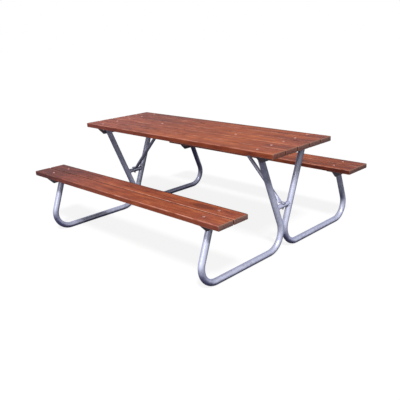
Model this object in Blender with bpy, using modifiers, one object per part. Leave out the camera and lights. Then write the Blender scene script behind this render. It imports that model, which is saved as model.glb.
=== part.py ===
"""Beer table set: a plank table and two plank benches on two frames of bent, galvanised steel tube.

Metres, +Z up. The origin is on the floor under the middle of the table. X runs along the planks,
Y across them, and each frame stands in a plane of its own, at X = FRAME_X and at X = -FRAME_X.
"""

import math

import bmesh
import bpy
from mathutils import Matrix, Vector

# Planks
PLANK_WIDTH = 0.119
PLANK_THICKNESS = 0.033
PLANK_GAP = 0.006
PLANK_ROUNDING = 0.005
TABLE_PLANKS = 5
TABLE_LENGTH = 1.864
TABLE_HEIGHT = 0.740
BENCH_PLANKS = 2
BENCH_LENGTH = 1.884
BENCH_HEIGHT = 0.452
BENCH_CENTRE_Y = 0.673

# Angle irons that carry the planks, their lower corners sawn off at 45 degrees
ANGLE_LEG = 0.050
ANGLE_THICKNESS = 0.005
ANGLE_ROOT_RADIUS = 0.006
ANGLE_ROUNDING = 0.0008
ANGLE_SETBACK = 0.0115
ANGLE_END_CUT = 0.044
ANGLE_STANDOFF = 0.0004

# Bent tubes, two to a frame, standing back to back, set in from the ends of the table
FRAME_SETBACK = 0.162
TUBE_DIAMETER = 0.0424
TUBE_WALL = 0.0026
INNER_BEND_RADIUS = 0.127
OUTER_BEND_RADIUS = 0.115
RISER_LEAN = math.radians(20.8)

# Crossbar between the legs of a frame
CROSSBAR_HEIGHT = 0.312
CROSSBAR_DIAMETER = 0.032
CROSSBAR_WALL = 0.0026

# Brace from a crossbar up to the table, its ends pressed flat
BRACE_DIAMETER = 0.025
BRACE_RUN = 0.395
TAB_THICKNESS = 0.006
TAB_WIDTH = 0.035
TAB_LENGTH = 0.040
NECK_LENGTH = 0.045
NECK_WIDTH = 0.030
NECK_THICKNESS = 0.0155

# Round-headed bolts, each with a washer and a nut
BOLT_DIAMETER = 0.008
BOLT_HEAD_DIAMETER = 0.020
BOLT_HEAD_HEIGHT = 0.004
BOLT_TIP = 0.004
WASHER_DIAMETER = 0.017
WASHER_THICKNESS = 0.0016
NUT_ACROSS_CORNERS = 0.015
NUT_HEIGHT = 0.0065
NUT_ROOM = 0.0018
BORE_CLEARANCE = 0.0006
OUTER_BOLT_OFFSET = 0.0125

# Air left where two pieces meet, and how far a cutter reaches past what it cuts
SEAT = 0.0003
REACH = 0.03

# How finely round shapes are drawn
TUBE_SIDES = 16
BEND_STEPS = 8
ROOT_STEPS = 4
BRACE_SIDES = 16
BOLT_SIDES = 10
HEAD_STEPS = 3
ROUND_POWER = 2.0
NECK_POWER = 2.6
FLAT_POWER = 5.0
SMOOTH_BELOW = math.radians(35)
WELD_DISTANCE = 0.00001
FLAT_BELOW = math.radians(0.5)

TIMBER_COLOUR = (0.34, 0.105, 0.065)
STEEL_COLOUR = (0.52, 0.52, 0.58)
ANGLE_COLOUR = (0.22, 0.20, 0.22)
BOLT_COLOUR = (0.66, 0.62, 0.60)

SIDES = (("front", -1), ("rear", 1))
ENDS = (("left", -1), ("right", 1))

# Heights under the planks
TABLE_UNDERSIDE = TABLE_HEIGHT - PLANK_THICKNESS
BENCH_UNDERSIDE = BENCH_HEIGHT - PLANK_THICKNESS
UNDER_FLANGE = SEAT + ANGLE_THICKNESS
LEG_TOP = TABLE_UNDERSIDE - UNDER_FLANGE - SEAT
RISER_TOP = BENCH_UNDERSIDE - UNDER_FLANGE - SEAT

# Places along the planks
FRAME_X = TABLE_LENGTH / 2 - FRAME_SETBACK
BRACE_TOP_X = FRAME_X - BRACE_RUN

# Places across the planks
PLANK_PITCH = PLANK_WIDTH + PLANK_GAP
TABLE_ANGLE_LENGTH = TABLE_PLANKS * PLANK_PITCH - PLANK_GAP - 2 * ANGLE_SETBACK
BENCH_ANGLE_LENGTH = BENCH_PLANKS * PLANK_PITCH - PLANK_GAP - 2 * ANGLE_SETBACK
OUTER_BOLT_Y = PLANK_PITCH * (TABLE_PLANKS - 1) / 2 + OUTER_BOLT_OFFSET
TUBE_RADIUS = TUBE_DIAMETER / 2
LEG_TOP_Y = OUTER_BOLT_Y - WASHER_DIAMETER / 2 - NUT_ROOM - TUBE_RADIUS

# Outer face of the angle irons, which stand against the outer side of the tubes, and the line of
# their bolts, whose washers lie close to the bend inside the angle
ANGLE_X = FRAME_X + TUBE_RADIUS + ANGLE_STANDOFF + ANGLE_THICKNESS
BOLT_X = ANGLE_X - ANGLE_THICKNESS - ANGLE_ROOT_RADIUS - WASHER_DIAMETER / 2 - SEAT

# The leg runs from its top down onto the inner bend, and touches that circle
INNER_CENTRE_Y = INNER_BEND_RADIUS + TUBE_RADIUS + SEAT / 2
LEG_RISE = LEG_TOP - TUBE_RADIUS - INNER_BEND_RADIUS
LEG_RUN = LEG_TOP_Y - INNER_CENTRE_Y
LEG_LEAN = math.atan2(LEG_RUN, LEG_RISE) + math.asin(INNER_BEND_RADIUS / math.hypot(LEG_RUN, LEG_RISE))

# Corners of a tube's centre line before they are rounded, measured outwards from the middle
INNER_CORNER_Y = LEG_TOP_Y - math.tan(LEG_LEAN) * (LEG_TOP - TUBE_RADIUS)
OUTER_CORNER_Y = BENCH_CENTRE_Y + math.tan(RISER_LEAN) * (RISER_TOP - TUBE_RADIUS)


def leg_y(height):
    """How far out from the middle a leg's centre line is at a height."""
    return INNER_CORNER_Y + math.tan(LEG_LEAN) * (height - TUBE_RADIUS)


def riser_y(height):
    """How far out from the middle a riser's centre line is at a height."""
    return OUTER_CORNER_Y - math.tan(RISER_LEAN) * (height - TUBE_RADIUS)


def row_places(count, centre_y):
    """The Y of each plank of a board, from front to back."""
    first = centre_y - (count - 1) / 2 * PLANK_PITCH
    return [first + row * PLANK_PITCH for row in range(count)]


def collection(name):
    """A new collection in the scene."""
    made = bpy.data.collections.new(name)
    bpy.context.scene.collection.children.link(made)
    return made


def material(name, colour, roughness, metallic):
    """A plain Principled material."""
    made = bpy.data.materials.new(name)
    made.use_nodes = True
    shader = made.node_tree.nodes["Principled BSDF"]
    shader.inputs["Base Color"].default_value = (*colour, 1.0)
    shader.inputs["Roughness"].default_value = roughness
    shader.inputs["Metallic"].default_value = metallic
    return made


def piece(name, mesh, finish, place=(0.0, 0.0, 0.0), turn=0.0):
    """A sub-part made of the mesh, turned about Z."""
    made = bpy.data.objects.new(name, mesh)
    made.location = place
    made.rotation_euler.z = turn
    if not mesh.materials:
        mesh.materials.append(finish)
    PARTS.objects.link(made)
    return made


def cutter(name, mesh, place=(0.0, 0.0, 0.0), turn=0.0):
    """A shape that only cuts others or is joined to them."""
    made = bpy.data.objects.new(name, mesh)
    made.location = place
    made.rotation_euler.z = turn
    made.hide_render = True
    made.display_type = "WIRE"
    CUTTERS.objects.link(made)
    return made


def mesh_of(shape, name):
    """Turns a bmesh into a mesh."""
    mesh = bpy.data.meshes.new(name)
    shape.to_mesh(mesh)
    shape.free()
    return mesh


def add_box(shape, low, high):
    """Adds a box between two corners."""
    low = Vector(low)
    high = Vector(high)
    place = Matrix.Translation((low + high) / 2) @ Matrix.Diagonal((*(high - low), 1.0))
    bmesh.ops.create_cube(shape, size=1.0, matrix=place)


def add_cylinder(shape, radius, low, high, sides):
    """Adds a capped upright cylinder from the point low to the point high."""
    middle = Matrix.Translation((Vector(low) + Vector(high)) / 2)
    depth = (Vector(high) - Vector(low)).length
    bmesh.ops.create_cone(
        shape, cap_ends=True, segments=sides, radius1=radius, radius2=radius, depth=depth, matrix=middle
    )


def round_edges(made, width, segments):
    """Rounds the edges of a piece."""
    bevel = made.modifiers.new("Rounding", "BEVEL")
    bevel.width = width
    bevel.segments = segments
    bevel.limit_method = "ANGLE"


def combine(made, tool, operation):
    """Cuts the tool's shape out of a piece with DIFFERENCE, or joins it to the piece with UNION."""
    boolean = made.modifiers.new(tool.name, "BOOLEAN")
    boolean.operation = operation
    boolean.object = tool
    boolean.solver = "EXACT"


def finished_mesh(made):
    """The mesh of an object with its modifiers applied and its points welded. The object is removed."""
    graph = bpy.context.evaluated_depsgraph_get()
    mesh = bpy.data.meshes.new_from_object(made.evaluated_get(graph))
    bpy.data.objects.remove(made)
    shape = bmesh.new()
    shape.from_mesh(mesh)
    bmesh.ops.remove_doubles(shape, verts=shape.verts, dist=WELD_DISTANCE)
    bmesh.ops.dissolve_limit(shape, angle_limit=FLAT_BELOW, verts=shape.verts, edges=shape.edges)
    shape.to_mesh(mesh)
    shape.free()
    return mesh


def shade_round(mesh):
    """Smooth shading, apart from real corners."""
    mesh.shade_smooth()
    mesh.set_sharp_from_angle(angle=SMOOTH_BELOW)


def rounded_path(corners, radii):
    """A path through the corners, with each inner corner rounded to its radius."""
    path = [corners[0]]
    for before, corner, after, radius in zip(corners, corners[1:], corners[2:], radii):
        back = (before - corner).normalized()
        on = (after - corner).normalized()
        half = back.angle(on) / 2
        start = corner + back * radius / math.tan(half)
        centre = corner + (back + on).normalized() * radius / math.sin(half)
        axis = back.cross(start - centre)
        for step in range(BEND_STEPS + 1):
            turn = Matrix.Rotation((math.pi - 2 * half) * step / BEND_STEPS, 3, axis)
            path.append(centre + turn @ (start - centre))
    path.append(corners[-1])
    return path


def tube_mesh(name, path, radius, capped):
    """A skin round the path, whose flats are at the radius, with one flat square to X."""
    curve = bpy.data.curves.new(name, "CURVE")
    curve.dimensions = "3D"
    curve.bevel_depth = radius / math.cos(math.pi / TUBE_SIDES)
    curve.bevel_resolution = (TUBE_SIDES - 4) // 2
    curve.use_fill_caps = capped
    spline = curve.splines.new("POLY")
    spline.points.add(len(path) - 1)
    for point, place in zip(spline.points, path):
        point.co = (*place, 1.0)
        point.tilt = math.pi / TUBE_SIDES
    guide = bpy.data.objects.new(name, curve)
    PARTS.objects.link(guide)
    mesh = finished_mesh(guide)
    bpy.data.curves.remove(curve)
    shade_round(mesh)
    return mesh


def give_wall(made, wall):
    """Turns an open skin into a wall that grows inwards."""
    solidify = made.modifiers.new("Wall", "SOLIDIFY")
    solidify.thickness = wall
    solidify.offset = -1.0
    solidify.use_even_offset = True


def extruded(name, outline, length):
    """A section, given as points (X, Z), extruded along Y to both sides of the middle."""
    curve = bpy.data.curves.new(name, "CURVE")
    curve.dimensions = "2D"
    curve.fill_mode = "BOTH"
    curve.extrude = length / 2
    spline = curve.splines.new("POLY")
    spline.points.add(len(outline) - 1)
    spline.use_cyclic_u = True
    for point, (out, up) in zip(spline.points, outline):
        point.co = (out, up, 0.0, 1.0)
    guide = bpy.data.objects.new(name, curve)
    PARTS.objects.link(guide)
    mesh = finished_mesh(guide)
    bpy.data.curves.remove(curve)
    mesh.transform(Matrix.Rotation(math.pi / 2, 4, "X"))
    return mesh


def angle_outline(gap, spare):
    """An angle iron's section from its outer corner, grown by gap inside the bend and by spare outside."""
    under = -ANGLE_THICKNESS - gap
    root = -ANGLE_THICKNESS - ANGLE_ROOT_RADIUS
    toe = -ANGLE_LEG - spare
    outline = [(spare, spare), (toe, spare), (toe, under)]
    for step in range(ROOT_STEPS + 1):
        turn = math.pi / 2 * step / ROOT_STEPS
        reach = ANGLE_ROOT_RADIUS - gap
        outline.append((root + reach * math.sin(turn), root + reach * math.cos(turn)))
    outline += [(under, toe), (spare, toe)]
    return outline


def flattened_ring(centre, across, up, width, height, power):
    """Points round a section that is oval at power 2 and nearly a flat bar at a higher one."""
    ring = []
    for step in range(BRACE_SIDES):
        angle = 2 * math.pi * step / BRACE_SIDES
        side = math.copysign(abs(math.cos(angle)) ** (2 / power), math.cos(angle))
        rise = math.copysign(abs(math.sin(angle)) ** (2 / power), math.sin(angle))
        ring.append(centre + across * side * width / 2 + up * rise * height / 2)
    return ring


def loft(rings, name):
    """A closed skin over rings of equally many points."""
    shape = bmesh.new()
    loops = [[shape.verts.new(point) for point in ring] for ring in rings]
    for near, far in zip(loops, loops[1:]):
        for step in range(len(near)):
            after = (step + 1) % len(near)
            shape.faces.new((near[step], near[after], far[after], far[step]))
    shape.faces.new(loops[0])
    shape.faces.new(loops[-1])
    bmesh.ops.recalc_face_normals(shape, faces=shape.faces)
    return mesh_of(shape, name)


def bolt_mesh(grip):
    """A round-headed bolt that clamps the grip, with its washer and nut. Its origin is under the head."""
    shank = BOLT_DIAMETER / 2
    washer_top = -grip - SEAT
    nut_top = washer_top - WASHER_THICKNESS
    nut_bottom = nut_top - NUT_HEIGHT
    tip = nut_bottom - BOLT_TIP
    profile = [(0.0, SEAT + BOLT_HEAD_HEIGHT)]
    for step in range(1, HEAD_STEPS + 1):
        angle = math.pi / 2 * step / HEAD_STEPS
        rise = BOLT_HEAD_HEIGHT * math.cos(angle)
        profile.append((BOLT_HEAD_DIAMETER / 2 * math.sin(angle), SEAT + rise))
    profile += [(shank, SEAT), (shank, washer_top), (WASHER_DIAMETER / 2, washer_top)]
    profile += [(WASHER_DIAMETER / 2, nut_top), (shank, nut_top), (shank, tip), (0.0, tip)]
    outline = bpy.data.meshes.new("bolt")
    edges = [(point, point + 1) for point in range(len(profile) - 1)]
    outline.from_pydata([(out, 0.0, up) for out, up in profile], edges, [])
    turned = bpy.data.objects.new("bolt", outline)
    PARTS.objects.link(turned)
    screw = turned.modifiers.new("Turn", "SCREW")
    screw.steps = BOLT_SIDES
    screw.render_steps = BOLT_SIDES
    screw.use_merge_vertices = True
    screw.merge_threshold = WELD_DISTANCE
    shape = bmesh.new()
    into_washer = nut_top + WASHER_THICKNESS / 2
    add_cylinder(shape, NUT_ACROSS_CORNERS / 2, (0, 0, nut_bottom), (0, 0, into_washer), 6)
    nut = cutter("nut", mesh_of(shape, "nut"))
    combine(turned, nut, "UNION")
    mesh = finished_mesh(turned)
    bpy.data.objects.remove(nut)
    shade_round(mesh)
    return mesh


def list_bolts():
    """Each bolt as its name, the point under its head and its grip."""
    angled = PLANK_THICKNESS + UNDER_FLANGE
    tabbed = PLANK_THICKNESS + SEAT + TAB_THICKNESS
    barred = TAB_THICKNESS + SEAT + CROSSBAR_DIAMETER
    bolts = []
    for end, x_side in ENDS:
        x = x_side * BOLT_X
        for row, plank_y in enumerate(TABLE_ROWS, start=1):
            y = math.copysign(OUTER_BOLT_Y, plank_y) if row in (1, TABLE_PLANKS) else plank_y
            bolts.append((f"table_bolt_{end}_{row}", (x, y, TABLE_HEIGHT), angled))
        for side, _ in SIDES:
            for row, y in enumerate(BENCH_ROWS[side], start=1):
                bolts.append((f"{side}_bench_bolt_{end}_{row}", (x, y, BENCH_HEIGHT), angled))
        bolts.append((f"brace_top_bolt_{end}", (x_side * BRACE_TOP_X, 0.0, TABLE_HEIGHT), tabbed))
        head_z = CROSSBAR_HEIGHT - CROSSBAR_DIAMETER / 2 + barred
        bolts.append((f"brace_foot_bolt_{end}", (x_side * FRAME_X, 0.0, head_z), barred))
    return bolts


def make_bores():
    """One cutter for the hole of every bolt, through all that it clamps."""
    radius = BOLT_DIAMETER / 2 + BORE_CLEARANCE
    shape = bmesh.new()
    for _, (x, y, z), grip in BOLTS:
        add_cylinder(shape, radius, (x, y, z - grip - REACH), (x, y, z + REACH), BOLT_SIDES)
    return cutter("bores", mesh_of(shape, "bores"))


def make_board(prefix, rows, length, height):
    """The planks of one board, side by side, with rounded edges and bolt holes."""
    for row, y in enumerate(rows, start=1):
        shape = bmesh.new()
        size = Vector((length, PLANK_WIDTH, PLANK_THICKNESS)) / 2
        add_box(shape, -size, size)
        place = (0.0, y, height - PLANK_THICKNESS / 2)
        plank = piece(f"{prefix}_plank_{row}", mesh_of(shape, "plank"), TIMBER, place)
        round_edges(plank, PLANK_ROUNDING, 2)
        combine(plank, BORES, "DIFFERENCE")


def angle_place(x_side, y, underside):
    """Where an angle iron's outer corner lies, and how far the piece is turned about Z."""
    return (x_side * ANGLE_X, y, underside - SEAT), math.pi * (1 - x_side) / 2


def make_saw(name, length, place, turn):
    """A cutter that takes the lower corner off both ends of an angle iron's upright flange."""
    size = 4 * ANGLE_END_CUT
    shape = bmesh.new()
    for _, y_side in SIDES:
        corner = Vector((-ANGLE_LEG / 2, y_side * length / 2, ANGLE_END_CUT - ANGLE_LEG))
        outward = Vector((0.0, y_side, -1.0)).normalized()
        place_of_cube = Matrix.Translation(corner + outward * size / 2)
        bmesh.ops.create_cube(shape, size=size, matrix=place_of_cube @ Matrix.Rotation(math.pi / 4, 4, "X"))
    return cutter(name, mesh_of(shape, name), place, turn)


def make_angle(name, length, place, turn):
    """An angle iron across the planks: one flange lies under them, the other hangs outside the tubes."""
    angle = piece(name, extruded("angle", angle_outline(0.0, 0.0), length), ANGLE_IRON, place, turn)
    combine(angle, make_saw(f"saw_{name}", length, place, turn), "DIFFERENCE")
    round_edges(angle, ANGLE_ROUNDING, 1)
    combine(angle, BORES, "DIFFERENCE")


def make_tube_trimmer(name, length, place, turn):
    """A cutter that shapes the tubes' upper ends to the inside of their angle iron."""
    outline = angle_outline(SEAT, 2 * REACH)
    return cutter(name, extruded("trimmer", outline, length + 2 * REACH), place, turn)


def make_tube(name, x, y_side, trimmers):
    """One bent tube: leg, bend, floor runner, bend and riser."""
    leg_end = LEG_TOP + REACH
    riser_end = RISER_TOP + REACH
    corners = [
        Vector((x, y_side * leg_y(leg_end), leg_end)),
        Vector((x, y_side * INNER_CORNER_Y, TUBE_RADIUS)),
        Vector((x, y_side * OUTER_CORNER_Y, TUBE_RADIUS)),
        Vector((x, y_side * riser_y(riser_end), riser_end)),
    ]
    path = rounded_path(corners, (INNER_BEND_RADIUS, OUTER_BEND_RADIUS))
    tube = piece(name, tube_mesh(name, path, TUBE_RADIUS, False), STEEL)
    give_wall(tube, TUBE_WALL)
    for trimmer in trimmers:
        combine(tube, trimmer, "DIFFERENCE")


def make_crossbar(end, x):
    """The crossbar of a frame, its ends shaped to the legs."""
    reach = leg_y(CROSSBAR_HEIGHT)
    path = [Vector((x, -reach, CROSSBAR_HEIGHT)), Vector((x, reach, CROSSBAR_HEIGHT))]
    mesh = tube_mesh("crossbar", path, CROSSBAR_DIAMETER / 2, False)
    crossbar = piece(f"crossbar_{end}", mesh, STEEL)
    give_wall(crossbar, CROSSBAR_WALL)
    low = CROSSBAR_HEIGHT - 2 * CROSSBAR_DIAMETER
    high = CROSSBAR_HEIGHT + 2 * CROSSBAR_DIAMETER
    for side, y_side in SIDES:
        leg = [Vector((x, y_side * leg_y(z), z)) for z in (high, low)]
        tool = cutter(f"{side}_leg_{end}", tube_mesh("leg", leg, TUBE_RADIUS + SEAT, True))
        combine(crossbar, tool, "DIFFERENCE")
    combine(crossbar, BORES, "DIFFERENCE")


def make_brace(end, x_side):
    """The brace: a round tube whose ends are pressed flat and bent level, to be bolted."""
    half_tab = TAB_LENGTH / 2
    foot_z = CROSSBAR_HEIGHT + CROSSBAR_DIAMETER / 2 + SEAT + TAB_THICKNESS / 2
    top_z = TABLE_UNDERSIDE - SEAT - TAB_THICKNESS / 2
    corners = [
        Vector((x_side * (FRAME_X + half_tab), 0.0, foot_z)),
        Vector((x_side * (FRAME_X - half_tab), 0.0, foot_z)),
        Vector((x_side * (BRACE_TOP_X + half_tab), 0.0, top_z)),
        Vector((x_side * (BRACE_TOP_X - half_tab), 0.0, top_z)),
    ]
    across = Vector((0.0, 1.0, 0.0))
    level = (corners[1] - corners[0]).normalized()
    slope = (corners[2] - corners[1]).normalized()
    bent = (level + slope).normalized()
    neck = slope * NECK_LENGTH
    flat = (TAB_WIDTH, TAB_THICKNESS, FLAT_POWER)
    half_round = (NECK_WIDTH, NECK_THICKNESS, NECK_POWER)
    full_round = (BRACE_DIAMETER, BRACE_DIAMETER, ROUND_POWER)
    stations = [
        (corners[0], level, flat),
        (corners[1], bent, flat),
        (corners[1] + neck / 2, slope, half_round),
        (corners[1] + neck, slope, full_round),
        (corners[2] - neck, slope, full_round),
        (corners[2] - neck / 2, slope, half_round),
        (corners[2], bent, flat),
        (corners[3], level, flat),
    ]
    rings = []
    for centre, along, (width, height, power) in stations:
        rings.append(flattened_ring(centre, across, across.cross(along), width, height, power))
    mesh = loft(rings, "brace")
    shade_round(mesh)
    brace = piece(f"brace_{end}", mesh, STEEL)
    combine(brace, BORES, "DIFFERENCE")


def make_bolts():
    """Every bolt, those of one grip sharing a mesh."""
    meshes = {}
    for name, place, grip in BOLTS:
        size = round(grip, 6)
        if size not in meshes:
            meshes[size] = bolt_mesh(grip)
        piece(name, meshes[size], BOLT_STEEL, place)


for leftover in list(bpy.data.objects):
    bpy.data.objects.remove(leftover)

PARTS = collection("beer_table_set")
CUTTERS = collection("cutters")
TIMBER = material("stained_timber", TIMBER_COLOUR, 0.6, 0.0)
STEEL = material("galvanised_steel", STEEL_COLOUR, 0.35, 1.0)
ANGLE_IRON = material("angle_iron", ANGLE_COLOUR, 0.5, 1.0)
BOLT_STEEL = material("bolt_steel", BOLT_COLOUR, 0.4, 1.0)

TABLE_ROWS = row_places(TABLE_PLANKS, 0.0)
BENCH_ROWS = {side: row_places(BENCH_PLANKS, out * BENCH_CENTRE_Y) for side, out in SIDES}
BOLTS = list_bolts()
BORES = make_bores()

make_board("table", TABLE_ROWS, TABLE_LENGTH, TABLE_HEIGHT)
for board_side, _ in SIDES:
    make_board(f"{board_side}_bench", BENCH_ROWS[board_side], BENCH_LENGTH, BENCH_HEIGHT)
for frame_end, frame_side in ENDS:
    table_place = angle_place(frame_side, 0.0, TABLE_UNDERSIDE)
    make_angle(f"table_angle_{frame_end}", TABLE_ANGLE_LENGTH, *table_place)
    leg_trimmer = make_tube_trimmer(f"leg_trimmer_{frame_end}", TABLE_ANGLE_LENGTH, *table_place)
    for tube_side, out in SIDES:
        bench_place = angle_place(frame_side, out * BENCH_CENTRE_Y, BENCH_UNDERSIDE)
        make_angle(f"{tube_side}_bench_angle_{frame_end}", BENCH_ANGLE_LENGTH, *bench_place)
        trimmer_name = f"{tube_side}_riser_trimmer_{frame_end}"
        riser_trimmer = make_tube_trimmer(trimmer_name, BENCH_ANGLE_LENGTH, *bench_place)
        make_tube(f"{tube_side}_tube_{frame_end}", frame_side * FRAME_X, out, (leg_trimmer, riser_trimmer))
    make_crossbar(frame_end, frame_side * FRAME_X)
    make_brace(frame_end, frame_side)
make_bolts()
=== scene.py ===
"""Beer table set: a plank table and two plank benches on two frames of bent, galvanised steel tube.

Metres, +Z up. The origin is on the floor under the middle of the table. X runs along the planks and
Y across them, from the front bench to the rear one. The photograph looks from the front right.
"""

import math

import bmesh
import bpy
from mathutils import Matrix, Vector


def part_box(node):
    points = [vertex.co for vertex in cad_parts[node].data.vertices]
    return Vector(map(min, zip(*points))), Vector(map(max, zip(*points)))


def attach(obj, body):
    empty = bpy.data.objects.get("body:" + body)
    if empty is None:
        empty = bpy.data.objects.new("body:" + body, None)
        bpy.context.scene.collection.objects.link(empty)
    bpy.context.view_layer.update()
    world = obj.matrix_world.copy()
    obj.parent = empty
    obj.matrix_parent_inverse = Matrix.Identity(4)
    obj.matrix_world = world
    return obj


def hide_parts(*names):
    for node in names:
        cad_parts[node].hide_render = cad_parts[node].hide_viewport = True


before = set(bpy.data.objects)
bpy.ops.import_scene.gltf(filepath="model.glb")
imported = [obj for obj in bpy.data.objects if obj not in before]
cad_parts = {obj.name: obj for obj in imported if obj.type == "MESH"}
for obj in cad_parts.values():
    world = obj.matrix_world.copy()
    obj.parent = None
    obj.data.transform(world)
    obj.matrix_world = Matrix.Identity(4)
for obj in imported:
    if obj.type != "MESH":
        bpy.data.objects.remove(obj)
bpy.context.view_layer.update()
scene = bpy.context.scene


# Camera
# The photograph was taken standing, from the front right corner, with the set left of the middle
# of the lens's view, so the lens is shifted a little sideways.
eye = Vector((2.77745, -2.70556, 1.47981))
heading = math.radians(43.002)
tilt = math.radians(-18.431)
roll = math.radians(-2.052)
sensor_millimetres = 36.0
photo_width = 400
focal_pixels = 539.79
middle_column = 225

lens = bpy.data.cameras.new("photo_camera")
lens.sensor_fit = "HORIZONTAL"
lens.sensor_width = sensor_millimetres
lens.lens = focal_pixels / photo_width * sensor_millimetres
lens.shift_x = (photo_width / 2 - middle_column) / photo_width
camera = bpy.data.objects.new("photo_camera", lens)
scene.collection.objects.link(camera)
turned = Matrix.Rotation(heading, 4, "Z") @ Matrix.Rotation(math.pi / 2 + tilt, 4, "X")
camera.matrix_world = Matrix.Translation(eye) @ turned @ Matrix.Rotation(roll, 4, "Z")
scene.camera = camera
scene.view_settings.view_transform = "Standard"


# Floor, background and light
# A pale seamless floor that runs into a white background. The sun stands high behind the camera, so
# the planks' tops are brighter than their edges, and a softbox before the front bench puts a bright
# line along the tubes.
sky_level = 0.22
floor_colour = (0.14, 0.14, 0.14, 1.0)
floor_glow = 0.87
floor_half = 30.0
white = (1.0, 1.0, 1.0, 1.0)
sun_strength = 3.2
sun_spread = math.radians(9)
sun_way = Vector((-0.65, 0.55, -1.0))
softbox_width = 0.7
softbox_height = 2.6
softbox_power = 60.0
softbox_place = (1.25, -4.7, 1.85)
softbox_way = Vector((-0.6, 4.2, -1.3))


class Socket:
    """A node's output. Arithmetic on it adds Math nodes to its tree, and add() adds any other node."""

    def __init__(self, tree, socket=None):
        self.tree = tree
        self.socket = socket

    @staticmethod
    def find(sockets, key):
        """The socket at an index, or the first one in use with that name."""
        if isinstance(key, int):
            return sockets[key]
        return next(socket for socket in sockets if socket.name == key and socket.enabled)

    def add(self, kind, settings=None, values=None, out=0):
        """A node of this type, with its settings made first and then its sockets set or linked."""
        node = self.tree.nodes.new(kind)
        for name, value in (settings or {}).items():
            setattr(node, name, value)
        for key, value in (values or {}).items():
            socket = self.find(node.inputs, key)
            if isinstance(value, Socket):
                self.tree.links.new(value.socket, socket)
            else:
                socket.default_value = value
        made = self.find(node.outputs, out) if node.outputs else None
        return Socket(self.tree, made)

    def out(self, name):
        """Another output of the same node."""
        return Socket(self.tree, self.find(self.socket.node.outputs, name))

    def math(self, operation, *others):
        """This value and any others through a Math node."""
        return self.add("ShaderNodeMath", {"operation": operation}, dict(enumerate((self, *others))))

    def vector(self, operation, *others, out=0):
        """This vector and any others through a Vector Math node."""
        values = dict(enumerate((self, *others)))
        return self.add("ShaderNodeVectorMath", {"operation": operation}, values, out)

    def length(self):
        """The length of this vector."""
        return self.vector("LENGTH", out="Value")

    def xyz(self):
        """The three parts of this vector."""
        parts = self.add("ShaderNodeSeparateXYZ", {}, {"Vector": self})
        return parts, parts.out("Y"), parts.out("Z")

    def step(self, low, high):
        """A smooth rise from 0 at low to 1 at high."""
        values = {"Value": self, "From Min": low, "From Max": high}
        return self.add("ShaderNodeMapRange", {"interpolation_type": "SMOOTHSTEP"}, values)

    def swing(self, amount):
        """This value of 0 to 1 as a swing about zero, of this amount from end to end."""
        return (self - 0.5) * amount

    def most(self, other):
        """The greater of this value and another."""
        return self.math("MAXIMUM", other)

    def mix(self, without, whole, blend="MIX"):
        """The colour without where this mask is 0, and the colour whole where it is 1."""
        settings = {"data_type": "RGBA", "blend_type": blend}
        return self.add("ShaderNodeMix", settings, {"Factor": self, "A": without, "B": whole}, "Result")

    def __add__(self, other):
        return self.math("ADD", other)

    def __sub__(self, other):
        return self.math("SUBTRACT", other)

    def __rsub__(self, other):
        return self.add("ShaderNodeMath", {"operation": "SUBTRACT"}, {0: other, 1: self})

    def __mul__(self, other):
        return self.math("MULTIPLY", other)

    def __truediv__(self, other):
        return self.math("DIVIDE", other)

    def __gt__(self, other):
        return self.math("GREATER_THAN", other)

    def __lt__(self, other):
        return self.math("LESS_THAN", other)

    def __neg__(self):
        return self * -1.0

    def __abs__(self):
        return self.math("ABSOLUTE")

    __radd__ = __add__
    __rmul__ = __mul__


def seen(tree):
    """1 for the rays that show the background itself: those of the camera, of gloss and of glass."""
    path = Socket(tree).add("ShaderNodeLightPath", out="Is Camera Ray")
    return path.most(path.out("Is Glossy Ray")).most(path.out("Is Transmission Ray"))


def point_along(lamp, way):
    """Turns a lamp so that it shines this way."""
    lamp.rotation_euler = way.to_track_quat("-Z", "Y").to_euler()


world = bpy.data.worlds.new("white_room")
world.use_nodes = True
world.node_tree.nodes.clear()
mask = seen(world.node_tree)
level = sky_level + mask * (1.0 - sky_level)
sky = mask.add("ShaderNodeBackground", {}, {"Color": white, "Strength": level})
mask.add("ShaderNodeOutputWorld", {}, {"Surface": sky})
scene.world = world

shape = bmesh.new()
bmesh.ops.create_grid(shape, x_segments=1, y_segments=1, size=floor_half)
floor_mesh = bpy.data.meshes.new("floor")
shape.to_mesh(floor_mesh)
shape.free()
floor = bpy.data.objects.new("floor", floor_mesh)
scene.collection.objects.link(floor)
floor_finish = bpy.data.materials.new("pale_floor")
floor_finish.use_nodes = True
floor_finish.node_tree.nodes.clear()
mask = seen(floor_finish.node_tree)
paper = mask.add("ShaderNodeBsdfDiffuse", {}, {"Color": floor_colour})
glow = mask.add("ShaderNodeEmission", {}, {"Color": white, "Strength": mask * floor_glow})
both = mask.add("ShaderNodeAddShader", {}, {0: paper, 1: glow})
mask.add("ShaderNodeOutputMaterial", {}, {"Surface": both})
floor_mesh.materials.append(floor_finish)

daylight = bpy.data.lights.new("daylight", "SUN")
daylight.energy = sun_strength
daylight.angle = sun_spread
sun = bpy.data.objects.new("daylight", daylight)
point_along(sun, sun_way)
scene.collection.objects.link(sun)

panel = bpy.data.lights.new("front_softbox", "AREA")
panel.shape = "RECTANGLE"
panel.size = softbox_width
panel.size_y = softbox_height
panel.energy = softbox_power
softbox = bpy.data.objects.new("front_softbox", panel)
softbox.location = softbox_place
point_along(softbox, softbox_way)
scene.collection.objects.link(softbox)


# Planks
# Planed softwood boards, brushed with a red-brown stain that lets the grain, the growth rings and
# the knots through. Their edges are rounded. Those that face the front are lighter, partly stain
# rubbed thin and partly a painted highlight; the rear and left edges, the sides and the gaps carry
# painted shade. Towards the left end of the set the stain is colder and greyer, and a painted sky
# sheen lies over it.
plank_rounding = 0.005
rounding_steps = 4
grid_step = 0.0075
surface_wave = 0.0004
first_seed = 1.7
seed_step = 3.1

bolt_x = 0.7768
outer_bolt_offset = 0.0125
seats_below = 0.50
table_above = 0.60
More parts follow.
